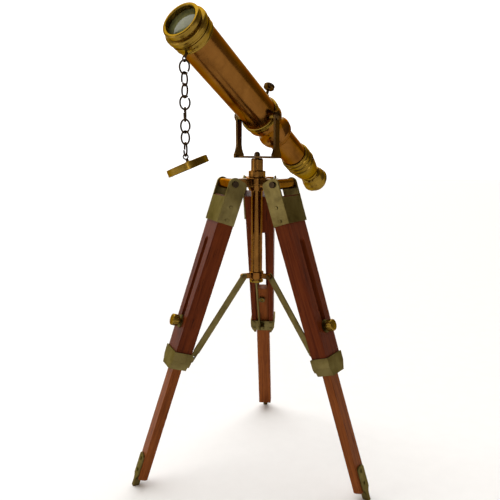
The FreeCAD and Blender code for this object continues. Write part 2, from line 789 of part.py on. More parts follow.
def foot_plate(frame):
    """A plate on the leg's outer face that ends in a point cut level with the floor."""
    past_floor = d.foot_neck + 12.0
    plate = padded("YZ_Plane", (
        (-d.foot_point_half, -past_floor),
        (d.foot_point_half, -past_floor),
        (d.foot_point_half, -d.foot_neck),
        (d.foot_half, -d.foot_shoulder, 0.6),
        (d.foot_half, -d.foot_top - 3.0),
        (d.foot_half - 3.0, -d.foot_top, -0.9),
        (3.0 - d.foot_half, -d.foot_top),
        (-d.foot_half, -d.foot_top - 3.0, -0.9),
        (-d.foot_half, -d.foot_shoulder),
        (-d.foot_point_half, -d.foot_neck, 0.6),
    ), d.foot_plate)
    seat = SHANK_OUT + d.seat_gap
    plate = moved(plate, (seat + 0.5 * d.foot_plate, 0, 0))
    spur = block(seat - d.foot_spur, seat + 0.2, -d.foot_point_half, d.foot_point_half,
                 -past_floor, -d.shank_low - 0.1)
    floor = doc.addObject("Part::Box", "Floor")
    floor.Length = 400
    floor.Width = 400
    floor.Height = 40
    floor.Placement = frame.inverse().multiply(
        FreeCAD.Placement(FreeCAD.Vector(-200, -200, -40), FreeCAD.Rotation())
    )
    return cut(fuse(plate, spur), floor, *foot_drillings())


def shank_hardware():
    pieces = []
    face = SHANK_OUT + d.seat_gap + d.foot_plate
    for station in FOOT_SCREWS:
        head = cyl(d.rivet_head_r, d.rivet_head, (face, 0, -station), "X")
        stem = cyl(d.rivet_r, 5.0, (face - 5.0, 0, -station), "X")
        pieces.append(fuse(head, stem))
    washer = cyl(d.washer_r, d.washer, (OUTER + KNOB_PLAY, 0, -d.clamp_station), "X")
    hole = cyl(d.clamp_r + d.fit_gap, 10.0, (OUTER - 3.0, 0, -d.clamp_station), "X")
    pieces.append(cut(washer, hole))
    nut = cyl(d.nut_r, d.nut, (SHANK_IN - d.nut, 0, -d.clamp_station), "X")
    rim = torus(d.nut_r - 0.9, 0.8, (SHANK_IN - d.nut, 0, -d.clamp_station), TURNS["X"])
    thread = cyl(d.clamp_r + d.fit_gap, 10.0, (SHANK_IN - 6.0, 0, -d.clamp_station), "X")
    pieces.append(cut(fuse(nut, rim), thread))
    return group(*pieces)


KNURLS = 18


def knurls(radius, groove, low, length):
    """Round-bottomed grooves along a knob's rim."""
    grooves = []
    for k in range(KNURLS):
        angle = 2.0 * math.pi * k / KNURLS
        at = (radius * math.cos(angle), radius * math.sin(angle), low)
        grooves.append(cyl(groove, length, at))
    return grooves


def lock_knob():
    start = OUTER + d.washer + 2.0 * KNOB_PLAY
    head = start + d.knob_neck
    end = head + d.knob_length
    tail = SHANK_IN - d.nut - 0.3
    form = turned((
        (0, 0),
        (d.clamp_r, 0),
        (d.clamp_r, start - tail),
        (d.knob_neck_r, start - tail),
        (d.knob_neck_r, head - tail),
        (d.knob_r - 0.8, head - tail),
        (d.knob_r, head - tail + 0.8, -0.2),
        (d.knob_r, end - tail - 1.6),
        (d.knob_r - 1.4, end - tail - 0.2, -0.5),
        (0, end - tail, -dome(d.knob_r - 1.4, 0.2)),
    ))
    knob = cut(form, *knurls(d.knob_r + 0.12, 0.42, head - tail + 1.0, d.knob_length - 2.6))
    put(knob, (tail, 0, -d.clamp_station), TURNS["X"])
    return knob


for side, azimuth in LEGS:
    frame = leg_frame(azimuth)
    node("upper_leg_" + side, upper_leg(), frame)
    node("head_ferrule_" + side, head_ferrule(), frame)
    node("lower_ferrule_" + side, lower_ferrule(), frame)
    node("leg_fasteners_" + side, leg_fasteners(), frame)
    node("lower_leg_" + side, lower_leg(), frame)
    node("foot_plate_" + side, foot_plate(frame), frame)
    node("shank_hardware_" + side, shank_hardware(), frame)
    knob_place = lock_knob()
    doc.recompute()
    node("lock_knob_" + side, group(knob_place), frame)

# ---------------------------------------------------------------- spreader and braces

collar = [turned((
    (d.column_r + d.fit_gap, d.spreader_low),
    (d.spreader_r - 0.5, d.spreader_low),
    (d.spreader_r, d.spreader_low + 0.5),
    (d.spreader_r, d.spreader_high - 0.5),
    (d.spreader_r - 0.5, d.spreader_high),
    (d.column_r + d.fit_gap, d.spreader_high),
))]
pins = []
for _, azimuth in LEGS:
    spoke = block(d.spreader_r - 0.8, d.spreader_reach, -d.lug_half, d.lug_half,
                  d.spreader_pin_z - d.lug_r, d.spreader_pin_z + d.lug_r)
    eye = cyl(d.lug_r, 2.0 * d.lug_half, (d.spreader_reach, -d.lug_half, d.spreader_pin_z), "Y")
    bore = cyl(d.pin_r + d.seat_gap, 10.0, (d.spreader_reach, -5.0, d.spreader_pin_z), "Y")
    lug = cut(fuse(spoke, eye), bore)
    lug.Placement = spoke_frame(azimuth)
    collar.append(lug)
    pin = brace_pin(d.spreader_reach, d.spreader_pin_z)
    pin.Placement = spoke_frame(azimuth)
    pins.append(pin)
node("spreader_collar", fuse(*collar))
node("spreader_pins", group(*pins))

# the brace's foot pin in the plane of its leg: (radius, height)
lean = math.radians(d.leg_lean.value)
FOOT_R = (d.leg_hinge_r.value + d.lug_station.value * math.sin(lean)
          - d.lug_reach.value * math.cos(lean))
FOOT_Z = (d.leg_hinge_z.value - d.lug_station.value * math.cos(lean)
          - d.lug_reach.value * math.sin(lean))
BRACE_RUN = FOOT_R - d.spreader_reach.value
BRACE_DROP = d.spreader_pin_z.value - FOOT_Z
BRACE_LENGTH = math.hypot(BRACE_RUN, BRACE_DROP)


def brace():
    """A flat bar beside the lugs, hanging down -Z from its upper pin; the foot
    pin runs in a slot."""
    length = BRACE_LENGTH
    play = d.brace_slot
    near = d.lug_half + d.brace_gap
    far = near + d.brace_sheet
    bar = block(-d.brace_half, d.brace_half, near, far, 0.0 - length + d.brace_foot_run - 1.0, 0.0)
    top = cyl(d.brace_half, d.brace_sheet, (0, near, 0), "Y")
    foot = block(-d.brace_foot, d.brace_foot, near, far, -play - length,
                 0.0 - length + d.brace_foot_run)
    foot_end = cyl(d.brace_foot, d.brace_sheet, (0, near, -play - length), "Y")
    upper_bore = cyl(d.pin_r + d.fit_gap, d.brace_sheet + 2.0, (0, near - 1.0, 0), "Y")
    slot_r = d.pin_r + d.brace_play
    slot_high = cyl(slot_r, d.brace_sheet + 2.0, (0, near - 1.0, play - length), "Y")
    slot_low = cyl(slot_r, d.brace_sheet + 2.0, (0, near - 1.0, -play - length), "Y")
    slot = block(-slot_r, slot_r, near - 1.0, far + 1.0, -play - length, play - length)
    return cut(fuse(bar, top, foot, foot_end), upper_bore, slot_high, slot_low, slot)


for side, azimuth in LEGS:
    swing = math.degrees(math.atan2(BRACE_RUN, BRACE_DROP))
    hang = FreeCAD.Placement(
        FreeCAD.Vector(d.spreader_reach.value, 0, d.spreader_pin_z.value),
        FreeCAD.Rotation(FreeCAD.Vector(0, 1, 0), -swing),
    )
    node("brace_" + side, brace(), spoke_frame(azimuth).multiply(hang))

# ---------------------------------------------------------------- yoke


def yoke_arm(sign):
    arm = padded("YZ_Plane", (
        (-d.arm_foot_half, d.yoke_low),
        (d.arm_foot_half, d.yoke_low),
        (d.arm_foot_half, d.yoke_low + 3.6),
        (d.arm_waist_half, d.yoke_low + 14.0, 0.9),
        (d.arm_waist_half + 0.3, d.tilt_height - 5.0),
        (d.arm_tip_r, d.tilt_height, 0.25),
        (0, d.tilt_height + d.arm_tip_r, -0.293 * d.arm_tip_r.value),
        (-d.arm_tip_r, d.tilt_height, -0.293 * d.arm_tip_r.value),
        (-d.arm_waist_half - 0.3, d.tilt_height - 5.0, 0.25),
        (-d.arm_waist_half, d.yoke_low + 14.0),
        (-d.arm_foot_half, d.yoke_low + 3.6, 0.9),
    ), d.arm_sheet)
    middle = (d.arm_inner + 0.5 * d.arm_sheet) * sign
    return moved(arm, (middle, 0, 0))


strap = block(-d.arm_inner - 0.4, d.arm_inner + 0.4, -d.strap_half, d.strap_half,
              d.yoke_low, d.yoke_low + d.yoke_strap)
stud_hole = cyl(d.stud_r + d.fit_gap, 10.0, (0, 0, d.yoke_low - 4.0))
screw_hole = cyl(d.trunnion_r + d.fit_gap, 60.0, (-30.0, 0, d.tilt_height), "X")
node("yoke_bracket", cut(fuse(strap, yoke_arm(-1.0), yoke_arm(1.0)), stud_hole, screw_hole), YOKE)

# ---------------------------------------------------------------- telescope body

node("objective_bezel", turned((
    (d.cell_r, d.cell_rear),
    (d.barrel_bore_r - d.seat_gap, d.cell_rear),
    (d.barrel_bore_r - d.seat_gap, d.barrel_front + 0.3),
    (d.barrel_r - 0.4, d.barrel_front + 0.3),
    (d.barrel_r - 0.4, d.collar_front + 0.05),
    (d.bead_r - 1.2, d.collar_front + 0.05),
    (d.bead_r - 1.2, d.bead_rear),
    (d.bead_r, d.bead_rear + 2.0, -0.5),
    (d.bead_r, d.bead_front - 2.2),
    (d.bead_r - 1.7, d.bead_front - 0.4, -0.5),
    (d.lip_r - 0.7, d.bead_front),
    (d.lip_r - 0.7, d.bead_front + 0.7),
    (d.lip_r, d.bead_front + 1.3),
    (d.lip_r, d.front - 1.4),
    (d.lip_r - 1.4, d.front, -0.41),
    (d.mouth_r + 1.0, d.front),
    (d.mouth_r, d.front - 1.0, -0.29),
    (d.mouth_r, d.lens_front + 2.2),
    (d.cell_r, d.lens_front + 2.2),
)))

node("objective_lens", turned((
    (0, d.lens_rear - d.lens_swell),
    (d.lens_r, d.lens_rear, -dome(d.lens_r, d.lens_swell.value)),
    (d.lens_r, d.lens_front),
    (0, d.lens_front + d.lens_swell, -dome(d.lens_r, d.lens_swell.value)),
)))

node("lens_retaining_ring", turned((
    (d.mouth_r, d.lens_rear - 5.0),
    (d.cell_r - d.seat_gap, d.lens_rear - 5.0),
    (d.cell_r - d.seat_gap, d.lens_rear - 0.5),
    (d.mouth_r + 1.0, d.lens_rear - 0.5),
    (d.mouth_r, d.lens_rear - 1.5),
)))

collar_ring = turned((
    (d.barrel_r + d.seat_gap, d.collar_rear),
    (d.collar_r - 0.8, d.collar_rear),
    (d.collar_r - 0.5, d.collar_rear + 1.1, -0.3),
    (d.collar_r - 0.7, d.collar_rear + 1.5),
    (d.collar_r, d.collar_front - 2.4, 0.25),
    (d.collar_r, d.collar_front),
    (d.barrel_r - 0.3, d.collar_front),
    (d.barrel_r - 0.3, d.barrel_front + 0.1),
    (d.barrel_r + d.seat_gap, d.barrel_front + 0.1),
))
staple_hole = cyl(d.staple_stem_r + d.seat_gap, d.collar_r + 4.0,
                  (0, 0.0 - d.collar_r - 4.0, d.staple_station), "Y")
node("objective_collar", cut(collar_ring, staple_hole))

node("main_barrel", turned((
    (d.barrel_bore_r, d.barrel_rear),
    (d.barrel_r, d.barrel_rear),
    (d.barrel_r, d.barrel_front),
    (d.barrel_bore_r, d.barrel_front),
)))

ring_band = turned((
    (d.barrel_r + d.seat_gap, d.ring_rear),
    (d.ring_r - 1.0, d.ring_rear),
    (d.ring_r, d.ring_rear + 1.2, -0.3),
    (d.ring_r, d.ring_front - 1.2),
    (d.ring_r - 1.0, d.ring_front, -0.3),
    (d.barrel_r + d.seat_gap, d.ring_front),
))
boss_reach = d.arm_inner - 0.2
bosses = cyl(d.boss_r, 2.0 * boss_reach, (-boss_reach, -d.tilt_offset, d.tilt_station), "X")
lock_boss = cyl(d.lock_boss_r, d.lock_boss_top, (0, 0, d.lock_station), "Y")
ring_bore = cyl(d.barrel_r + d.seat_gap, 40.0, (0, 0, d.tilt_station - 20.0))
tapped = cyl(d.trunnion_r + d.seat_gap, 60.0, (-30.0, -d.tilt_offset, d.tilt_station), "X")
lock_tap = cyl(d.lock_r + d.fit_gap, 40.0, (0, 0, d.lock_station), "Y")
node("trunnion_ring", cut(fuse(ring_band, bosses, lock_boss), ring_bore, tapped, lock_tap), SCOPE)


def tilt_screw(sign):
    inner = 19.0
    face = d.arm_inner + d.arm_sheet + 0.2
    screw = turned((
        (0, 0),
        (d.trunnion_r, 0),
        (d.trunnion_r, face - inner),
        (d.trunnion_head_r, face - inner),
        (d.trunnion_head_r, face - inner + 0.9),
        (0, face - inner + d.trunnion_head,
         -dome(d.trunnion_head_r, d.trunnion_head.value - 0.9)),
    ))
    slot = block(-d.trunnion_head_r - 1.0, d.trunnion_head_r + 1.0, -0.45, 0.45,
                 face - inner + 1.2, face - inner + 4.0)
    whole = cut(screw, slot)
    turn = FreeCAD.Rotation(FreeCAD.Vector(0, 1, 0), 90 * sign)
    place = (inner * sign, -d.tilt_offset, d.tilt_station)
    put(whole, place, turn)
    return whole


node("tilt_screws", group(tilt_screw(1), tilt_screw(-1)), SCOPE)

node("rear_cup", turned((
    (d.tube_r + d.fit_gap, d.bell_rear),
    (d.bell_rear_r - 0.4, d.bell_rear),
    (d.bell_rear_r, d.bell_rear + 0.5, -0.15),
    (d.bell_rear_r, d.bell_rear + 1.8),
    (d.bell_r - 0.5, d.bell_rim - 2.2, -1.0),
    (d.bell_r, d.bell_rim, -0.25),
    (d.bell_r - 0.6, d.bell_rim + 1.6, -0.2),
    (d.waist_r, d.waist_station, 1.2),
    (d.waist_r + 0.9, d.cup_rim - 5.2, 0.25),
    (d.cup_r, d.cup_rim - 1.0, -1.0),
    (d.cup_r, d.ring_rear - 0.05, -0.15),
    (d.barrel_r, d.ring_rear - 0.05),
    (d.barrel_r, d.barrel_rear - 0.05),
    (d.barrel_bore_r - d.seat_gap, d.barrel_rear - 0.05),
    (d.barrel_bore_r - d.seat_gap, d.barrel_rear + 7.0),
    (d.barrel_bore_r - 1.2, d.barrel_rear + 7.0),
    (d.barrel_bore_r - 1.2, d.cup_rim - 3.0),
    (d.tube_r + d.fit_gap, d.waist_station),
)))

STAPLE_Y = 0.0 - d.collar_r - d.staple_drop
staple_eye = torus(d.eyelet_r, d.eyelet_wire, (0, STAPLE_Y, d.staple_station), TURNS["X"])
staple_stem = cyl(d.staple_stem_r, d.collar_r + d.staple_drop - d.barrel_r - d.eyelet_r - 0.1,
                  (0, STAPLE_Y + d.eyelet_r, d.staple_station), "Y")
node("chain_staple", fuse(staple_eye, staple_stem), SCOPE)


def lock_screw():
    low = d.barrel_r + 0.3
    head = d.lock_head_low
    form = turned((
        (0, 0),
        (d.lock_r, 0),
        (d.lock_r, head - low - 1.6),
        (d.lock_r + 1.0, head - low, 0.35),
        (d.lock_head_r - 0.6, head - low),
        (d.lock_head_r, head - low + 0.6),
        (d.lock_head_r, head - low + d.lock_head - 0.7),
        (d.lock_head_r - 0.7, head - low + d.lock_head),
        (0, head - low + d.lock_head),
    ))
    screw = cut(form, *knurls(d.lock_head_r + 0.15, 0.5, head - low - 1.0, d.lock_head + 2.0))
    put(screw, (0, low, d.lock_station), TURNS["Y"])
    return screw


node("barrel_lock_screw", group(lock_screw()), SCOPE)

# ---------------------------------------------------------------- draw tube and eyepiece

node("draw_tube", turned((
    (d.tube_bore_r, d.tube_rear),
    (d.tube_r, d.tube_rear),
    (d.tube_r, d.tube_front - d.tube_stop),
    (d.barrel_bore_r - 0.1, d.tube_front - d.tube_stop),
    (d.barrel_bore_r - 0.1, d.tube_front),
    (d.tube_bore_r, d.tube_front),
)))

collar_profile = [
    (d.tube_bore_r - 0.3, d.eye_collar_rear),
    (d.eye_collar_r, d.eye_collar_rear),
]
RING_STATIONS = (47.6, 54.0, 60.4)
for station in RING_STATIONS:
    half = d.eye_ring_half
    collar_profile += [
        (d.eye_collar_r, station - half),
        (d.eye_ring_r, station - half + 0.6),
        (d.eye_ring_r, station + half - 0.6, 0),
        (d.eye_collar_r, station + half),
    ]
collar_profile += [
    (d.eye_collar_r, d.eye_collar_front - 1.0),
    (d.eye_collar_r - 0.8, d.eye_collar_front, -0.2),
    (d.tube_r + d.seat_gap, d.eye_collar_front),
    (d.tube_r + d.seat_gap, d.tube_rear - 0.05),
    (d.tube_bore_r - 0.3, d.tube_rear - 0.05),
]
node("eyepiece_collar", turned(tuple(collar_profile)))

node("eyepiece_taper", turned((
    (d.neck_r - 1.6, d.neck_rear),
    (d.neck_r - 0.3, d.neck_rear),
    (d.neck_r - 0.3, d.neck_front - 0.8),
    (d.neck_r + 0.2, d.neck_front),
    (d.taper_mid_r, d.taper_mid, -0.55),
    (d.taper_r, d.eye_collar_rear - 0.05, -0.12),
    (d.tube_bore_r - 0.35, d.eye_collar_rear - 0.05),
    (d.tube_bore_r - 0.35, d.tube_rear - 0.4),
    (d.tube_bore_r - 1.6, d.tube_rear - 0.4),
    (d.tube_bore_r - 1.6, d.taper_mid + 3.0),
    (d.neck_r - 1.6, d.neck_front + 2.0),
)))

node("eyecup", turned((
    (d.eye_lens_r + d.seat_gap, d.neck_rear - 0.05),
    (d.neck_r, d.neck_rear - 0.05),
    (d.neck_r + 1.6, d.neck_rear - 2.4, 0.25),
    (d.eyecup_r - 0.9, d.eyecup_widest + 5.6, -0.55),
    (d.eyecup_r, d.eyecup_widest, -0.35),
    (d.eyecup_r - 2.4, 1.0, -0.9),
    (d.eye_hole_r + 3.0, 0.0, -0.4),
    (d.eye_hole_r, 7.0, 0.9),
    (d.eye_hole_r, 12.4),
    (d.eye_lens_r + d.seat_gap, 12.4),
)))

node("eye_lens", turned((
    (0, d.eye_lens_low - d.lens_swell),
    (d.eye_lens_r, d.eye_lens_low, -dome(d.eye_lens_r, d.lens_swell.value)),
    (d.eye_lens_r, d.eye_lens_high),
    (0, d.eye_lens_high + d.lens_swell, -dome(d.eye_lens_r, d.lens_swell.value)),
)))

SCOPE_TURNED = ("objective_bezel", "objective_lens", "lens_retaining_ring", "objective_collar",
                "main_barrel", "rear_cup", "draw_tube", "eyepiece_collar", "eyepiece_taper",
                "eyecup", "eye_lens")
for piece in NODES:
    if piece.Label in SCOPE_TURNED:
        piece.Placement = SCOPE

# ---------------------------------------------------------------- chain and lens cap

LINK_TWISTS = (-10.0, 65.0, 130.0, 200.0, 270.0, 338.0, 404.0, 472.0)
VIEW_TURN = 5.6
link_run = d.link_pitch + 2.0 * d.link_wire + d.link_gap
staple_middle = SCOPE.multVec(FreeCAD.Vector(0, STAPLE_Y.value, d.staple_station.value))
bow_step = d.link_wire.value + d.eyelet_wire.value + d.link_gap.value
link_top = staple_middle - UP * (d.eyelet_r.value - bow_step)


def chain_link():
    """An oval link in the XZ plane, its upper bow's wire centre at the origin."""
    bow = d.link_bow
    half = link_run - 2.0 * bow
    upright = FreeCAD.Rotation(FreeCAD.Vector(1, 0, 0), 90)
    upper = torus(bow, d.link_wire, (0, 0, -bow), upright, 180)
    lower = torus(bow, d.link_wire, (0, 0, -bow - half),
                  FreeCAD.Rotation(FreeCAD.Vector(1, 0, 0), -90), 180)
    right = cyl(d.link_wire, half, (bow, 0, -bow - half))
    left = cyl(d.link_wire, half, (-bow, 0, -bow - half))
    return fuse(upper, lower, right, left)


for number, twist in enumerate(LINK_TWISTS, start=1):
    frame = FreeCAD.Placement(link_top, FreeCAD.Rotation(UP, twist + VIEW_TURN))
    node("chain_link_%d" % number, chain_link(), frame)
    link_low = link_top - UP * link_run.value
    link_top = link_low + UP * (2.0 * d.link_wire.value + d.link_gap.value)

# the cap hangs from the last link by its eyelet, leaning across the view
cap_across = FreeCAD.Rotation(UP, VIEW_TURN).multVec(FreeCAD.Vector(1, 0, 0))
cap_depth = FreeCAD.Rotation(UP, VIEW_TURN).multVec(FreeCAD.Vector(0, 1, 0))
eyelet_middle = link_low + UP * (bow_step - d.eyelet_r.value)
lean_turn = FreeCAD.Rotation(cap_depth, -d.cap_lean.value)
cap_x = lean_turn.multVec(cap_across)
cap_z = lean_turn.multVec(UP)
eyelet_height = d.cap_stem + d.eyelet_r
cap_origin = (eyelet_middle - cap_z * eyelet_height.value - cap_x * d.cap_stem_shift.value)
CAP = frame_of(cap_origin, cap_x, cap_depth, cap_z)

CAP_EDGE = 0.8
cap_shell = turned((
    (0, -d.cap_top),
    (d.cap_bore_r, -d.cap_top),
    (d.cap_bore_r, -d.cap_height),
    (d.cap_r, -d.cap_height),
    (d.cap_r, -CAP_EDGE),
    (d.cap_r - CAP_EDGE, 0, -0.23),
    (0, 0),
))
pad = cyl(2.4, 0.7, (d.cap_stem_shift, 0, 0))
stem = cyl(d.cap_stem_r, d.cap_stem, (d.cap_stem_shift, 0, 0))
eyelet = torus(d.eyelet_r, d.eyelet_wire, (d.cap_stem_shift, 0, eyelet_height),
               FreeCAD.Rotation(FreeCAD.Vector(1, 0, 0), 90))
node("lens_cap", fuse(cap_shell, pad, stem, eyelet), CAP)

# ---------------------------------------------------------------- check and write

doc.recompute()
faults = []
for obj in doc.Objects:
    if "Invalid" in obj.State or "Error" in obj.State:
        faults.append("%s (%s): %s" % (obj.Name, obj.Label, obj.State))
for piece in NODES:
    shape = piece.Shape
    if shape.isNull() or not shape.isValid() or not shape.Solids:
        faults.append("shape of " + piece.Label)
if faults:
    raise RuntimeError("; ".join(faults))
for piece in NODES:
    piece.Shape.exportStep("parts/%s.step" % piece.Label)
print(len(NODES), "sub-parts written")
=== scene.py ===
import json
import math
import random

import bmesh
import bpy
from mathutils import Matrix, Vector


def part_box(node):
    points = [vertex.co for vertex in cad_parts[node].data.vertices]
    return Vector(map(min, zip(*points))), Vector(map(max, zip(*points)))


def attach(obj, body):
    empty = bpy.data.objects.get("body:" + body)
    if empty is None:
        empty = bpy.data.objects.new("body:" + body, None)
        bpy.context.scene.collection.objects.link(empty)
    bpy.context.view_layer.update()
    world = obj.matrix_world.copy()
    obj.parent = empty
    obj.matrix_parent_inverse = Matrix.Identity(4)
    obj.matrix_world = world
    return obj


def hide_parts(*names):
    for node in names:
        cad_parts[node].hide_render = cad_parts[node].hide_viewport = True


# A brass telescope on a folding wooden tripod.  Metres, +Z up, the tripod's
# axis through the origin.  Every dressed piece takes the place of a CAD node
# and keeps its shape, with softened edges; the chain's rings are remade as
# bent wire.  The looks are in the materials, which follow each piece's own
# axes, so grain and scratches move with it.

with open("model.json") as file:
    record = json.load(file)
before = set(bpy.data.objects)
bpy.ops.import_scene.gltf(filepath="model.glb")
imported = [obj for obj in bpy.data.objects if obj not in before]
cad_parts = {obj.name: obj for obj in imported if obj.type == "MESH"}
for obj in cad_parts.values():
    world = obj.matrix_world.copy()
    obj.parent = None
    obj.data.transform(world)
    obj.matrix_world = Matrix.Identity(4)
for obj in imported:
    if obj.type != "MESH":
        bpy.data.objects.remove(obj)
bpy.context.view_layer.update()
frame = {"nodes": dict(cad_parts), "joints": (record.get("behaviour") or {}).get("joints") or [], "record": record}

JOINTS = {joint["name"]: joint for joint in frame["joints"]}
MM = 0.001
SIDES = ("left", "right", "back")
LINKS = 8

WELD = 2e-6                        # vertices closer than this are one
FLAT = math.radians(0.2)           # faces this nearly level are one
CREASE = math.radians(32)          # edges sharper than this stay sharp
BRACE_SLOPE = 0.9                  # share of a brace's outward reach that its pin-to-pin line covers


# ------------------------------------------------------------------ frames

def axis_of(name):
    return Vector(JOINTS[name]["axis"]).normalized()


def spot_of(name):
    return Vector(JOINTS[name]["pos_m"])


def frame_at(origin, x, y, z):
    turn = Matrix((x, y, z)).transposed().to_4x4()
    return Matrix.Translation(origin) @ turn


def scope_frame():
    """X across the telescope, Y towards its crown, Z towards the objective."""
    right = axis_of("scope_tilt")
    aim = axis_of("draw_focus")
    return frame_at(spot_of("scope_tilt"), right, aim.cross(right), aim)


def leg_frame(side):
    """X out of the leg's face, Y across it, Z up the leg, from its hinge."""
    across = axis_of("leg_fold_" + side)
    up = axis_of("leg_length_" + side)
    return frame_at(spot_of("leg_fold_" + side), across.cross(up), across, up)


def brace_frame(side):
    """Z along the brace, from its foot up to its pin on the spreader."""
    across = axis_of("brace_swing_" + side)
    low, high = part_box("brace_" + side)
    pin = spot_of("brace_swing_" + side)
    foot = spot_of("leg_fold_" + side)
    out = Vector((foot.x, foot.y, 0)).normalized()
    drop = Vector((0, 0, pin.z - low.z))
    reach = max(abs(corner.dot(out)) for corner in (low, high)) - pin.dot(out)
    up = (drop - out * reach * BRACE_SLOPE).normalized()
    return frame_at(pin, across.cross(up), across, up)


SCOPE = scope_frame()
LEG = {side: leg_frame(side) for side in SIDES}
UPRIGHT = Matrix.Identity(4)


# ------------------------------------------------------------------ node helpers

class Nodes:
    """A short way to write a material's node tree."""

    def __init__(self, material):
        material.use_nodes = True
        self.tree = material.node_tree
        self.tree.nodes.clear()
        self.out = self.tree.nodes.new("ShaderNodeOutputMaterial")

    def add(self, kind, **settings):
        made = self.tree.nodes.new("ShaderNode" + kind)
        for key, value in settings.items():
            setattr(made, key, value)
        return made

    def link(self, source, target):
        self.tree.links.new(source, target)

    def spot(self, scale=(1, 1, 1), turn=(0, 0, 0)):
        """Object coordinates, scaled: one unit of noise per 1/scale metres."""
        where = self.add("TexCoord")
        mapping = self.add("Mapping")
        mapping.inputs["Scale"].default_value = scale
        mapping.inputs["Rotation"].default_value = turn
        self.link(where.outputs["Object"], mapping.inputs["Vector"])
        return mapping.outputs["Vector"]

    def noise(self, vector, scale, detail=4.0, rough=0.55, twist=0.0):
        made = self.add("TexNoise")
        made.inputs["Scale"].default_value = scale
        made.inputs["Detail"].default_value = detail
        made.inputs["Roughness"].default_value = rough
        made.inputs["Distortion"].default_value = twist
        self.link(vector, made.inputs["Vector"])
        return made.outputs["Fac"]

    def ramp(self, value, *stops):
        made = self.add("ValToRGB")
        bar = made.color_ramp
        while len(bar.elements) < len(stops):
            bar.elements.new(0.5)
        for element, (at, colour) in zip(bar.elements, stops):
            element.position = at
            element.color = (*colour, 1.0)
        self.link(value, made.inputs["Fac"])
        return made.outputs["Color"]

    def grey(self, value, low, high, at_low, at_high):
        made = self.add("MapRange")
        made.inputs["From Min"].default_value = low
        made.inputs["From Max"].default_value = high
        made.inputs["To Min"].default_value = at_low
        made.inputs["To Max"].default_value = at_high
        self.link(value, made.inputs["Value"])
        return made.outputs["Result"]

    def mix(self, factor, first, second, how="MIX"):
        made = self.add("Mix", data_type="RGBA", blend_type=how)
        for socket, value in ((made.inputs[0], factor), (made.inputs[6], first),
                              (made.inputs[7], second)):
            if hasattr(value, "links"):
                self.link(value, socket)
            elif isinstance(value, tuple):
                socket.default_value = (*value, 1.0)
            else:
                socket.default_value = value
        return made.outputs[2]

    def maths(self, first, second, how="MULTIPLY"):
        made = self.add("Math", operation=how)
        for socket, value in zip(made.inputs, (first, second)):
            if hasattr(value, "links"):
                self.link(value, socket)
            else:
                socket.default_value = value
        return made.outputs[0]

    def bump(self, height, strength, distance):
        made = self.add("Bump")
        made.inputs["Strength"].default_value = strength
        made.inputs["Distance"].default_value = distance
        self.link(height, made.inputs["Height"])
        return made.outputs["Normal"]

    def surface(self, colour, rough, normal=None, **values):
        made = self.add("BsdfPrincipled")
        for name, value in (("Base Color", colour), ("Roughness", rough)):
            if hasattr(value, "links"):
                self.link(value, made.inputs[name])
            elif isinstance(value, tuple):
                made.inputs[name].default_value = (*value, 1.0)
            else:
                made.inputs[name].default_value = value
        if normal is not None:
            self.link(normal, made.inputs["Normal"])
        for name, value in values.items():
            socket = made.inputs[name.replace("_", " ")]
            socket.default_value = (*value, 1.0) if isinstance(value, tuple) else value
        self.link(made.outputs["BSDF"], self.out.inputs["Surface"])
        return made


# ------------------------------------------------------------------ materials

def metal(name, bright, body, tarnish, rough, age=0.5, stretch=(1, 1, 1),
          rim=(0.50, 0.38, 0.24)):
    """Aged metal: cloudy tarnish, dark specks, fine hand-polishing scratches.
    stretch squeezes the scratches so that they run along one local axis, and
    rim is the colour of its gloss at a glancing angle."""
    material = bpy.data.materials.new(name)
    n = Nodes(material)
    place = n.spot()
    clouds = n.noise(place, 30.0, 5.0, 0.55, 0.6)
    patina = n.noise(place, 120.0, 6.0, 0.62, 0.5)
    specks = n.noise(place, 800.0, 3.0, 0.5)
    lines = n.noise(n.spot(stretch), 1400.0, 4.0, 0.6)
    base = n.ramp(clouds, (0.28, tarnish), (0.32 + 0.20 * age, body), (0.80, bright))
    aged = n.mix(n.grey(patina, 0.50, 0.74, 0.0, 0.6 * age), base, tarnish)
    rubbed = n.mix(n.grey(lines, 0.40, 0.72, 0.0, 0.22), aged, bright)
    spotted = n.mix(n.grey(specks, 0.68, 0.76, 0.0, 0.6 * age), rubbed, tarnish)
    dull = n.grey(patina, 0.30, 0.75, rough * 0.85, rough * 1.35)
    height = n.maths(n.maths(lines, 0.5), n.maths(patina, 0.5), "ADD")
    n.surface(spotted, n.maths(dull, n.grey(lines, 0.35, 0.75, -0.04, 0.06), "ADD"),
              n.bump(height, 0.10, 0.12 * MM), Metallic=1.0, Specular_Tint=rim)
    return material


def wood(name, light, dark, pore, shine=0.34):
    """Varnished hardwood with its grain along the local Z axis."""
    material = bpy.data.materials.new(name)
    n = Nodes(material)
    figure = n.noise(n.spot((1.0, 1.0, 0.05)), 110.0, 6.0, 0.62, 1.4)
    bands = n.noise(n.spot((1.0, 1.0, 0.018)), 300.0, 4.0, 0.6, 0.6)
    pores = n.noise(n.spot((1.0, 1.0, 0.03)), 1500.0, 3.0, 0.5)
    clouds = n.noise(n.spot((1.0, 1.0, 0.5)), 30.0, 3.0, 0.5)
    base = n.ramp(figure, (0.32, dark), (0.52, light), (0.74, dark))
    banded = n.mix(n.grey(bands, 0.40, 0.66, 0.0, 0.6), base, dark)
    worn = n.mix(n.grey(clouds, 0.50, 0.78, 0.0, 0.4), banded, light)
    pored = n.mix(n.grey(pores, 0.60, 0.68, 0.0, 0.8), worn, pore)
    rough = n.grey(figure, 0.2, 0.8, shine, shine + 0.16)
    height = n.maths(n.maths(pores, -0.6), n.maths(figure, 0.4), "ADD")
    n.surface(pored, rough, n.bump(height, 0.25, 0.2 * MM), Specular_IOR_Level=0.05)
    return material


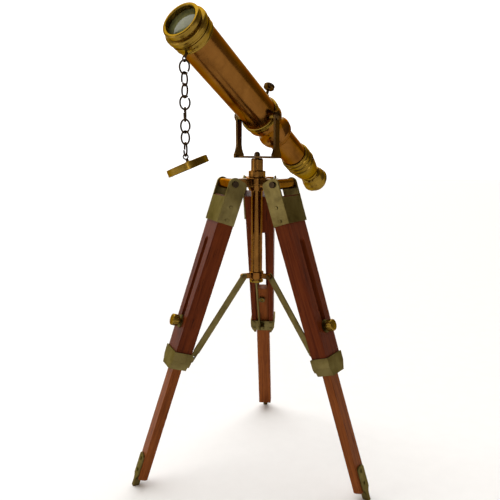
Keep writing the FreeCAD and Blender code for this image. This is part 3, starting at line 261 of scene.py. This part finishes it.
def glass(name, tint, clear):
    """A coated lens: a faint tint, a little dust."""
    material = bpy.data.materials.new(name)
    n = Nodes(material)
    dust = n.noise(n.spot(), 240.0, 5.0, 0.6)
    sheen = n.noise(n.spot(), 60.0, 2.0, 0.5, 0.8)
    deep = tuple(0.6 * part for part in tint)
    colour = n.mix(n.grey(sheen, 0.35, 0.65, 0.0, 1.0), tint, deep)
    rough = n.grey(dust, 0.5, 0.75, 0.05, 0.18)
    n.surface(colour, rough, None, IOR=1.5, Transmission_Weight=clear,
              Specular_IOR_Level=0.3)
    return material


def plain_floor(name):
    material = bpy.data.materials.new(name)
    n = Nodes(material)
    grain = n.noise(n.spot(), 60.0, 4.0, 0.6)
    colour = n.ramp(grain, (0.3, (0.83, 0.83, 0.83)), (0.7, (0.85, 0.85, 0.85)))
    n.surface(colour, 0.75)
    return material


ALONG_Z = (1.0, 1.0, 0.03)         # long scratches, as on a drawn tube
AROUND_Z = (0.04, 0.04, 1.0)       # turning marks round a lathe-turned piece

# one look for each material slot, each with its bright, usual and darkest colour

LOOKS = {
    "antique_brass": metal("antique_brass_look", (0.31, 0.195, 0.034), (0.19, 0.112, 0.017),
                           (0.06, 0.033, 0.006), 0.25, 0.45, AROUND_Z),
    "copper_lacquer": metal("copper_lacquer_look", (0.26, 0.112, 0.024), (0.155, 0.062, 0.012),
                            (0.06, 0.023, 0.005), 0.18, 0.45, ALONG_Z),
    "bronze_dark": metal("bronze_dark_look", (0.14, 0.080, 0.026), (0.070, 0.038, 0.013),
                         (0.028, 0.015, 0.006), 0.30, 0.6),
    "olive_brass": metal("olive_brass_look", (0.22, 0.178, 0.068), (0.115, 0.086, 0.028),
                         (0.045, 0.031, 0.011), 0.34, 0.5, ALONG_Z, (0.55, 0.52, 0.42)),
    "chain_brass": metal("chain_brass_look", (0.085, 0.055, 0.030), (0.040, 0.027, 0.016),
                         (0.018, 0.012, 0.008), 0.36, 0.6),
    "lens_glass": glass("lens_glass_look", (0.20, 0.215, 0.090), 0.1),
    "rosewood": wood("rosewood_look", (0.150, 0.030, 0.006), (0.070, 0.011, 0.002),
                     (0.016, 0.003, 0.001)),
}
COLUMN_BRASS = metal("column_look", (0.30, 0.145, 0.032), (0.155, 0.066, 0.014),
                     (0.06, 0.025, 0.006), 0.20, 0.5, ALONG_Z)
LEG_WOOD = wood("rosewood_lower_look", (0.27, 0.078, 0.017), (0.135, 0.034, 0.007),
                (0.03, 0.007, 0.002))


# ------------------------------------------------------------------ dressing CAD nodes

def slot_of(node):
    for row in frame["record"]["subparts"]:
        if row["node"] == node:
            return row["material_slot"]
    raise ValueError(node)


def body_of(node):
    for body, nodes in frame["record"]["behaviour"]["bodies"].items():
        if node in nodes:
            return body
    raise ValueError(node)


def finish_mesh(piece, edge, steps):
    """Round the sharp edges, smooth the rest and keep the result as the mesh."""
    if edge:
        bevel = piece.modifiers.new("edges", "BEVEL")
        bevel.width = edge
        bevel.segments = steps
        bevel.limit_method = "ANGLE"
        bevel.angle_limit = CREASE
    normals = piece.modifiers.new("normals", "WEIGHTED_NORMAL")
    normals.keep_sharp = True
    bpy.context.view_layer.update()
    graph = bpy.context.evaluated_depsgraph_get()
    baked = bpy.data.meshes.new_from_object(piece.evaluated_get(graph))
    piece.modifiers.clear()
    piece.data = baked


def dressed(node, local, edge=0.0, steps=2, look=None):
    """A copy of a CAD node's mesh in its own local frame, with softened edges."""
    mesh = frame["nodes"][node].data.copy()
    mesh.transform(local.inverted())
    shape = bmesh.new()
    shape.from_mesh(mesh)
    bmesh.ops.remove_doubles(shape, verts=shape.verts, dist=WELD)
    bmesh.ops.dissolve_limit(shape, angle_limit=FLAT, use_dissolve_boundaries=False,
                             verts=shape.verts, edges=shape.edges)
    clean = bpy.data.meshes.new(node + "_look")
    shape.to_mesh(clean)
    shape.free()
    clean.polygons.foreach_set("use_smooth", [True] * len(clean.polygons))
    clean.set_sharp_from_angle(angle=CREASE)
    clean.materials.clear()
    clean.materials.append(look or LOOKS[slot_of(node)])
    piece = bpy.data.objects.new(node + "_look", clean)
    bpy.context.scene.collection.objects.link(piece)
    piece.matrix_world = local
    finish_mesh(piece, edge, steps)
    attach(piece, body_of(node))
    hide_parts(node)
    return piece


def dress_telescope():
    for node in ("main_barrel", "rear_cup", "draw_tube"):
        dressed(node, SCOPE, 0.15 * MM)
    for node in ("objective_bezel", "objective_collar", "trunnion_ring", "eyepiece_collar",
                 "eyepiece_taper", "eyecup", "lens_retaining_ring", "tilt_screws",
                 "barrel_lock_screw"):
        dressed(node, SCOPE, 0.12 * MM)
    for node in ("objective_lens", "eye_lens", "chain_staple"):
        dressed(node, SCOPE)


def dress_stand():
    dressed("column_post", UPRIGHT, 0.2 * MM, 2, COLUMN_BRASS)
    for node in ("column_stop_ring", "yoke_nut", "spreader_collar", "spreader_pins"):
        dressed(node, UPRIGHT, 0.2 * MM)
    dressed("tripod_hub", UPRIGHT, 0.3 * MM, 3, COLUMN_BRASS)
    dressed("hinge_bolts", UPRIGHT, 0.3 * MM, 3, LOOKS["chain_brass"])
    dressed("yoke_bracket", UPRIGHT, 0.35 * MM, 3)
    for side in SIDES:
        local = LEG[side]
        dressed("upper_leg_" + side, local, 0.5 * MM, 3)
        dressed("lower_leg_" + side, local, 0.35 * MM, 2, LEG_WOOD)
        dressed("head_ferrule_" + side, local, 0.25 * MM)
        dressed("lower_ferrule_" + side, local, 0.25 * MM)
        dressed("foot_plate_" + side, local, 0.3 * MM)
        dressed("leg_fasteners_" + side, local, 0.45 * MM, 3, LOOKS["olive_brass"])
        dressed("shank_hardware_" + side, local, 0.3 * MM, 3, LOOKS["olive_brass"])
        dressed("lock_knob_" + side, local, 0.15 * MM)
        dressed("brace_" + side, brace_frame(side), 0.25 * MM)


def tube(name, path, radius, sides=12):
    """A wire swept along an open path in the XZ plane, its cut ends slightly rounded."""
    rings = []
    count = len(path)
    side = Vector((0, 1, 0))
    for i, spot in enumerate(path):
        ahead = path[min(i + 1, count - 1)] - path[max(i - 1, 0)]
        ahead.normalize()
        across = (side - ahead * side.dot(ahead)).normalized()
        third = ahead.cross(across)
        rings.append((spot, across, third, ahead))
    first, last = rings[0], rings[-1]
    blunt, tip = 0.25 * radius, 0.72 * radius
    rows = [(first[0] - first[3] * blunt, first[1], first[2], tip)]
    rows += [(spot, across, third, radius) for spot, across, third, _ in rings]
    rows += [(last[0] + last[3] * blunt, last[1], last[2], tip)]
    points, faces = [], []
    for spot, across, third, size in rows:
        for k in range(sides):
            angle = 2.0 * math.pi * k / sides
            points.append(spot + (across * math.cos(angle) + third * math.sin(angle)) * size)
    for row in range(len(rows) - 1):
        for k in range(sides):
            here, there = row * sides + k, row * sides + (k + 1) % sides
            faces.append((here, there, there + sides, here + sides))
    faces.append(tuple(reversed(range(sides))))
    faces.append(tuple(range(len(points) - sides, len(points))))
    mesh = bpy.data.meshes.new(name)
    mesh.from_pydata(points, [], faces)
    mesh.validate()
    shape = bmesh.new()
    shape.from_mesh(mesh)
    bmesh.ops.recalc_face_normals(shape, faces=shape.faces)
    shape.to_mesh(mesh)
    shape.free()
    mesh.polygons.foreach_set("use_smooth", [True] * len(mesh.polygons))
    mesh.set_sharp_from_angle(angle=math.radians(50))
    return mesh


CAD_WIRE = 0.5 * MM                # the CAD link's wire radius
LINK_WIRE = 0.78 * MM              # the bent wire's radius
LINK_SWELL = 0.16 * MM             # how far its centre line stands outside the CAD link's
LINK_BOW = 4.2 * MM                # a ring's half width, to its centre line
LINK_STEPS = 72
# where each ring's cut ends meet, and how far they stand apart, in degrees round the ring
LINK_CUTS = ((140, 14), (235, 8), (215, 16), (320, 16), (75, 8), (120, 6), (200, 8), (95, 8))


def chain_ring(number):
    """One bent-wire ring of the chain, cut open and slightly out of round."""
    node = "chain_link_%d" % number
    below = "cap_swing" if number == LINKS else "link_swing_%d" % (number + 1)
    low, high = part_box(node)
    across = axis_of(below)
    up = Vector((0, 0, 1))
    origin = spot_of(below)
    origin.z = 0.5 * (low.z + high.z)
    local = frame_at(origin, across, up.cross(across), up)
    half_height = 0.5 * (high.z - low.z) + LINK_SWELL - CAD_WIRE
    rng = random.Random(40 + number)
    at, open_by = (math.radians(v) for v in LINK_CUTS[number - 1])
    lean = rng.uniform(0.2, 0.35) * MM * rng.choice((-1, 1))
    phase = rng.uniform(0, 2 * math.pi)
    path = []
    for i in range(LINK_STEPS + 1):
        part = i / LINK_STEPS
        angle = at + 0.5 * open_by + (2 * math.pi - open_by) * part
        bend = 1.0 - 0.03 * (1 - math.cos(angle) ** 2) * (1 + math.cos(3 * angle + phase)) * 0.5
        path.append(Vector((LINK_BOW * bend * math.sin(angle), lean * (2 * part - 1) ** 3,
                            half_height * math.cos(angle))))
    piece = bpy.data.objects.new(node + "_look", tube(node + "_look", path, LINK_WIRE))
    piece.data.materials.append(LOOKS["chain_brass"])
    bpy.context.scene.collection.objects.link(piece)
    piece.matrix_world = local
    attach(piece, body_of(node))
    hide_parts(node)


EYELET_DROP = 0.8 * MM             # from the cap's swing axis to the middle of its eyelet and stem
EYELET_REACH = 4.2 * MM            # everything this near to that middle is eyelet or stem


def darken_eyelet(piece):
    """The cap's wire eyelet and its stem are blackened like the chain."""
    middle = spot_of("cap_swing") - Vector((0, 0, EYELET_DROP))
    piece.data.materials.append(LOOKS["chain_brass"])
    for face in piece.data.polygons:
        if (piece.matrix_world @ face.center - middle).length < EYELET_REACH:
            face.material_index = 1


def dress_chain():
    for number in range(1, LINKS + 1):
        chain_ring(number)
    darken_eyelet(dressed("lens_cap", UPRIGHT, 0.15 * MM))


# ------------------------------------------------------------------ studio

FLOOR_REACH = 6.0
OBJECT_MIDDLE = (0, 0, 0.25)
SUN_POWER = 3.3
SUN_SPREAD = math.radians(80)      # as soft as an overcast sky
SUN_HEADING = (0.25, -0.5, -0.85)  # from above and behind the object
WORLD_POWER = 1.35
WORLD_DARK = (0.13, 0.10, 0.065, 1.0)
WORLD_BRIGHT = (1.0, 1.0, 1.0, 1.0)
# how the room's light falls off along each direction: axis, from, to, share at from, share at to
WORLD_FALLS = (("Y", -0.2, 0.85, 0.05, 1.0),
               ("Z", 0.26, 0.75, 1.0, 0.06),
               ("X", 0.38, 0.8, 1.0, 0.15))

EYE = (0.0558, -0.5697, 0.3271)
EYE_HEADING = math.radians(5.59)
EYE_PITCH = math.radians(90.0 - 8.76)
EYE_ROLL = 0.0054
LENS_LENGTH = 41.2
SENSOR_WIDTH = 36.0
LENS_SHIFT = (-0.0135, -0.0269)


def placed(name, data):
    thing = bpy.data.objects.new(name, data)
    bpy.context.scene.collection.objects.link(thing)
    return thing


def floor():
    mesh = bpy.data.meshes.new("floor")
    corners = [(x * FLOOR_REACH, y * FLOOR_REACH, 0) for x, y in ((-1, -1), (1, -1), (1, 1), (-1, 1))]
    mesh.from_pydata(corners, [], [(0, 1, 2, 3)])
    mesh.materials.append(plain_floor("floor_look"))
    placed("floor", mesh)


def area_light(name, spot, size, power, colour):
    """A soft panel at spot that faces the object."""
    lamp = bpy.data.lights.new(name, "AREA")
    lamp.shape = "RECTANGLE"
    lamp.size, lamp.size_y = size
    lamp.energy = power
    lamp.color = colour
    holder = placed(name, lamp)
    holder.location = spot
    aim = Vector(OBJECT_MIDDLE) - Vector(spot)
    holder.rotation_euler = aim.to_track_quat("-Z", "Y").to_euler()


def lights():
    sun = bpy.data.lights.new("sky", "SUN")
    sun.energy = SUN_POWER
    sun.angle = SUN_SPREAD
    placed("sky", sun).rotation_euler = Vector(SUN_HEADING).to_track_quat("-Z", "Y").to_euler()
    area_light("left", (-1.3, -0.5, 0.55), (0.5, 1.1), 2.6, (1.0, 0.93, 0.82))
    area_light("front", (0.25, -1.5, 0.75), (0.12, 0.9), 2.5, (1.0, 0.95, 0.86))
    bpy.context.scene.view_settings.view_transform = "Standard"


def room():
    """A room that is bright behind the object, and dimmer and warmer before it,
    to its right and overhead, so that the turned metal has something to mirror."""
    world = bpy.data.worlds.new("studio")
    world.use_nodes = True
    tree = world.node_tree
    tree.nodes.clear()
    where = tree.nodes.new("ShaderNodeTexCoord")
    split = tree.nodes.new("ShaderNodeSeparateXYZ")
    tree.links.new(where.outputs["Generated"], split.inputs["Vector"])
    falls = []
    for axis, start, end, at_start, at_end in WORLD_FALLS:
        fall = tree.nodes.new("ShaderNodeMapRange")
        fall.inputs["From Min"].default_value = start
        fall.inputs["From Max"].default_value = end
        fall.inputs["To Min"].default_value = at_start
        fall.inputs["To Max"].default_value = at_end
        tree.links.new(split.outputs[axis], fall.inputs["Value"])
        falls.append(fall.outputs["Result"])
    total = falls[0]
    for fall in falls[1:]:
        product = tree.nodes.new("ShaderNodeMath")
        product.operation = "MULTIPLY"
        tree.links.new(total, product.inputs[0])
        tree.links.new(fall, product.inputs[1])
        total = product.outputs["Value"]
    warmth = tree.nodes.new("ShaderNodeValToRGB")
    warmth.color_ramp.elements[0].color = WORLD_DARK
    warmth.color_ramp.elements[1].color = WORLD_BRIGHT
    tree.links.new(total, warmth.inputs["Fac"])
    glow = tree.nodes.new("ShaderNodeBackground")
    glow.inputs["Strength"].default_value = WORLD_POWER
    out = tree.nodes.new("ShaderNodeOutputWorld")
    tree.links.new(warmth.outputs["Color"], glow.inputs["Color"])
    tree.links.new(glow.outputs["Background"], out.inputs["Surface"])
    bpy.context.scene.world = world


def camera():
    lens = bpy.data.cameras.new("camera")
    lens.lens = LENS_LENGTH
    lens.sensor_width = SENSOR_WIDTH
    lens.shift_x, lens.shift_y = LENS_SHIFT
    lens.clip_start = 0.01
    lens.clip_end = 30.0
    heading = Matrix.Rotation(EYE_HEADING, 4, "Z")
    pitch = Matrix.Rotation(EYE_PITCH, 4, "X")
    roll = Matrix.Rotation(EYE_ROLL, 4, "Z")
    eye = placed("camera", lens)
    eye.matrix_world = Matrix.Translation(EYE) @ heading @ pitch @ roll
    bpy.context.scene.camera = eye


dress_telescope()
dress_stand()
dress_chain()
floor()
lights()
room()
camera()
